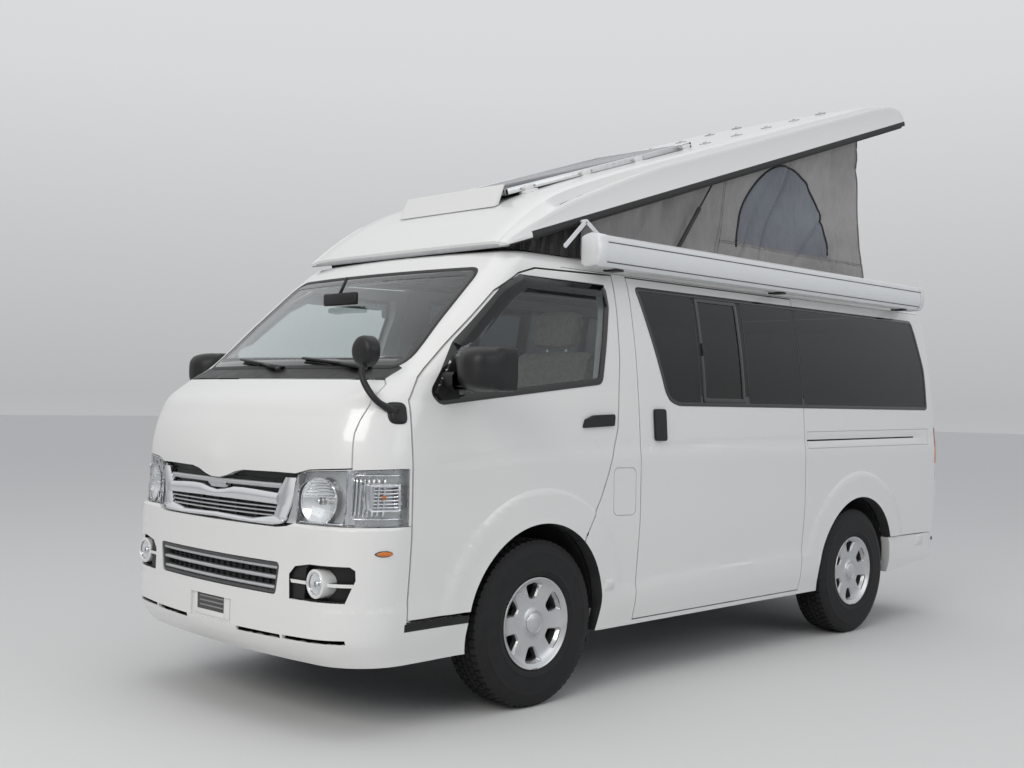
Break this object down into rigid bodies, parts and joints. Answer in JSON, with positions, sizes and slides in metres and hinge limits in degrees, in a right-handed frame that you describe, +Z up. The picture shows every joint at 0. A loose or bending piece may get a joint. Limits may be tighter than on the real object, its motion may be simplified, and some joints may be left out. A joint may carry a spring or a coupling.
{
  "type": "camper van",
  "caption": "Forward-control camper van with a raised pop-top roof and canvas, cab doors, tailgate, bonnet, steering and rolling wheels.",
  "frame": {"origin": "on the ground under the middle of the van's outline", "axes": "+X to the van's left side, -Y to its front, +Z up"},
  "size_m": [2.124, 4.695, 3.1292],
  "materials": {
    "body_paint": "gloss white",
    "lid_gelcoat": "gloss white gelcoat",
    "clear_glass": "clear",
    "dark_glass": "privacy tint",
    "lamp_lens": "clear lens",
    "tail_lens": "red lens",
    "chrome": "bright",
    "black_plastic": "moulded black",
    "black_rubber": "matt",
    "seat_fabric": "woven grey",
    "cabinet_wood": "laminate",
    "chassis_black": "black underbody paint",
    "cast_iron": "raw casting",
    "steel": "satin",
    "awning_white": "white powder coat",
    "solar_glass": "dark cells under glass",
    "canvas": "woven grey",
    "wheel_silver": "silver paint",
    "tyre_rubber": "matt"
  },
  "bodies": {
    "van_body": {"body_side_left": "body_paint", "body_side_right": "body_paint", "roof_panel": "body_paint", "front_panel": "body_paint", "sliding_door": "body_paint", "front_bumper": "body_paint", "rear_bumper": "body_paint", "floor_pan": "body_paint", "engine_cover": "body_paint", "windscreen": "clear_glass", "side_windows": "dark_glass", "headlamps": "lamp_lens", "tail_lamps": "tail_lens", "grille": "chrome", "wipers": "black_plastic", "fender_mirror": "black_plastic", "dashboard": "black_plastic", "steering_wheel": "black_plastic", "wheel_houses": "black_rubber", "front_seats": "seat_fabric", "furniture": "cabinet_wood", "chassis_frame": "chassis_black", "front_suspension": "chassis_black", "rear_axle": "chassis_black", "fuel_tank": "chassis_black", "engine_block": "cast_iron", "exhaust": "steel", "awning_case": "awning_white", "tent_canvas": "canvas"},
    "knuckle_left": {"knuckle_left": "chassis_black"},
    "knuckle_right": {"knuckle_right": "chassis_black"},
    "wheel_front_left": {"wheel_front_left": "wheel_silver", "tyre_front_left": "tyre_rubber"},
    "wheel_front_right": {"wheel_front_right": "wheel_silver", "tyre_front_right": "tyre_rubber"},
    "wheel_rear_left": {"wheel_rear_left": "wheel_silver", "tyre_rear_left": "tyre_rubber"},
    "wheel_rear_right": {"wheel_rear_right": "wheel_silver", "tyre_rear_right": "tyre_rubber"},
    "door_left": {"door_left": "body_paint", "door_glass_left": "clear_glass"},
    "door_right": {"door_right": "body_paint", "door_glass_right": "clear_glass"},
    "tailgate": {"tailgate": "body_paint", "tailgate_glass": "dark_glass"},
    "bonnet": {"bonnet": "body_paint"},
    "lid": {"lid": "lid_gelcoat", "solar_panel": "solar_glass"},
    "strut_tubes": {"strut_tubes": "chassis_black"},
    "strut_rods": {"strut_rods": "steel"}
  },
  "joints": [
    {"name": "steer_left", "type": "hinge", "parent": "van_body", "child": "knuckle_left", "pos_m": [0.69, -1.3175, 0.346], "axis": [0, 0, 1], "range_deg": [-33, 33]},
    {"name": "steer_right", "type": "hinge", "parent": "van_body", "child": "knuckle_right", "pos_m": [-0.69, -1.3175, 0.346], "axis": [0, 0, 1], "range_deg": [-33, 33]},
    {"name": "spin_front_left", "type": "hinge", "parent": "knuckle_left", "child": "wheel_front_left", "pos_m": [0.735, -1.3175, 0.346], "axis": [1, 0, 0], "continuous": true},
    {"name": "spin_front_right", "type": "hinge", "parent": "knuckle_right", "child": "wheel_front_right", "pos_m": [-0.735, -1.3175, 0.346], "axis": [1, 0, 0], "continuous": true},
    {"name": "spin_rear_left", "type": "hinge", "parent": "van_body", "child": "wheel_rear_left", "pos_m": [0.735, 1.2525, 0.346], "axis": [1, 0, 0], "continuous": true},
    {"name": "spin_rear_right", "type": "hinge", "parent": "van_body", "child": "wheel_rear_right", "pos_m": [-0.735, 1.2525, 0.346], "axis": [1, 0, 0], "continuous": true},
    {"name": "door_left_hinge", "type": "hinge", "parent": "van_body", "child": "door_left", "pos_m": [0.842, -2.003, 0.9], "axis": [0, 0, -1], "range_deg": [0, 65]},
    {"name": "door_right_hinge", "type": "hinge", "parent": "van_body", "child": "door_right", "pos_m": [-0.842, -2.003, 0.9], "axis": [0, 0, 1], "range_deg": [0, 65]},
    {"name": "tailgate_hinge", "type": "hinge", "parent": "van_body", "child": "tailgate", "pos_m": [0, 2.262, 1.852], "axis": [1, 0, 0], "range_deg": [0, 80]},
    {"name": "bonnet_hinge", "type": "hinge", "parent": "van_body", "child": "bonnet", "pos_m": [0, -2.146, 1.34], "axis": [-1, 0, 0], "range_deg": [0, 48]},
    {"name": "lid_lift", "type": "hinge", "parent": "van_body", "child": "lid", "pos_m": [0, -1.4, 1.914], "axis": [1, 0, 0], "range_deg": [-17.7, 0], "deforming": ["tent_canvas"]},
    {"name": "strut_tilt", "type": "hinge", "parent": "van_body", "child": "strut_tubes", "pos_m": [0.65, -0.25, 1.932], "axis": [1, 0, 0], "range_deg": [-52.73, 0]},
    {"name": "strut_stroke", "type": "slide", "parent": "strut_tubes", "child": "strut_rods", "axis": [0, 0.6144, 0.789], "range_m": [-0.1591, 0]}
  ],
  "couplings": [
    {"joint": "steer_right", "follows": "steer_left", "ratio": 1},
    {"joint": "strut_tilt", "follows": "lid_lift", "ratio": 2.951},
    {"joint": "strut_stroke", "follows": "lid_lift", "m_per_rad": 0.5085}
  ]
}
